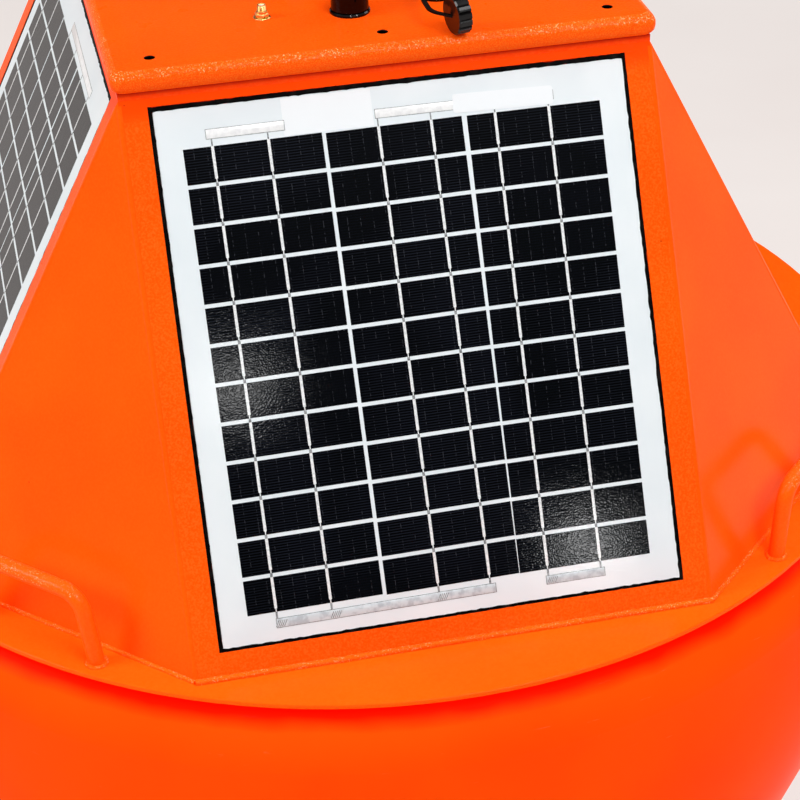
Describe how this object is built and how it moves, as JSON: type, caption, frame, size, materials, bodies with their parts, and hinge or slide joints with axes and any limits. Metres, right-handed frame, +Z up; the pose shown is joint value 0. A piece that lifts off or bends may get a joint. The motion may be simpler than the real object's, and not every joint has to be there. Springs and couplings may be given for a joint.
{
  "type": "water quality monitoring buoy",
  "caption": "Moored monitoring buoy: moulded orange float, round deck with rod handles, tapered tower with let-in solar panels, square lift-off lid, and a sonde in a cage below.",
  "frame": {"origin": "centre of the base ring's underside, on the floor", "axes": "+Z up along the buoy's axis, -Y towards the front panel under the row of lid fittings, +X to the right seen from the front"},
  "size_m": [0.8799, 0.88, 1.1432],
  "materials": {
    "orange_paint": "fine orange-peel powder coat, satin gloss",
    "float_plastic": "smooth moulded skin",
    "panel_glass": "cells behind pebbled glass on a white backsheet",
    "sealant": "hand-run bead",
    "gilt_brass": "gold-plated",
    "black_plastic": "glossy moulded",
    "black_rubber": "matt",
    "amber_lens": "clear ribbed amber",
    "cast_iron": "painted black casting",
    "dark_case": "moulded",
    "grey_case": "moulded",
    "sonde_plastic": "turned acetal",
    "galvanised_steel": "dull galvanised"
  },
  "bodies": {
    "buoy": {"ballast_ring": "cast_iron", "battery_block": "dark_case", "cage_base_ring": "galvanised_steel", "cage_hoop": "galvanised_steel", "cage_leg_back_left": "galvanised_steel", "cage_leg_back_right": "galvanised_steel", "cage_leg_front_left": "galvanised_steel", "cage_leg_front_right": "galvanised_steel", "deck_flange": "orange_paint", "deck_handle_back_left": "orange_paint", "deck_handle_back_right": "orange_paint", "deck_handle_front_left": "orange_paint", "deck_handle_front_right": "orange_paint", "float_hull": "float_plastic", "keel_plate": "galvanised_steel", "lid_gasket": "black_rubber", "logger_case": "grey_case", "mooring_lug_back": "galvanised_steel", "mooring_lug_front": "galvanised_steel", "mooring_lug_left": "galvanised_steel", "mooring_lug_right": "galvanised_steel", "panel_seal_back": "sealant", "panel_seal_front": "sealant", "panel_seal_left": "sealant", "panel_seal_right": "sealant", "solar_panel_back": "panel_glass", "solar_panel_front": "panel_glass", "solar_panel_left": "panel_glass", "solar_panel_right": "panel_glass", "sonde_body": "sonde_plastic", "sonde_guard": "sonde_plastic", "sonde_probes": "sonde_plastic", "tower_corner_back_left": "orange_paint", "tower_corner_back_right": "orange_paint", "tower_corner_front_left": "orange_paint", "tower_corner_front_right": "orange_paint", "tower_face_back": "orange_paint", "tower_face_front": "orange_paint", "tower_face_left": "orange_paint", "tower_face_right": "orange_paint", "tower_head_frame": "orange_paint"},
    "lid_assembly": {"lid": "orange_paint", "antenna_jack": "gilt_brass", "sensor_socket_capped": "black_plastic", "sensor_socket_open": "black_plastic", "hanging_cap": "black_plastic", "cap_strap": "black_rubber", "marker_light_base": "black_plastic", "marker_light_lens": "amber_lens"}
  },
  "joints": [
    {"name": "lid_lift", "type": "slide", "parent": "buoy", "child": "lid_assembly", "axis": [0, 0, 1], "range_m": [0, 0.25]}
  ]
}
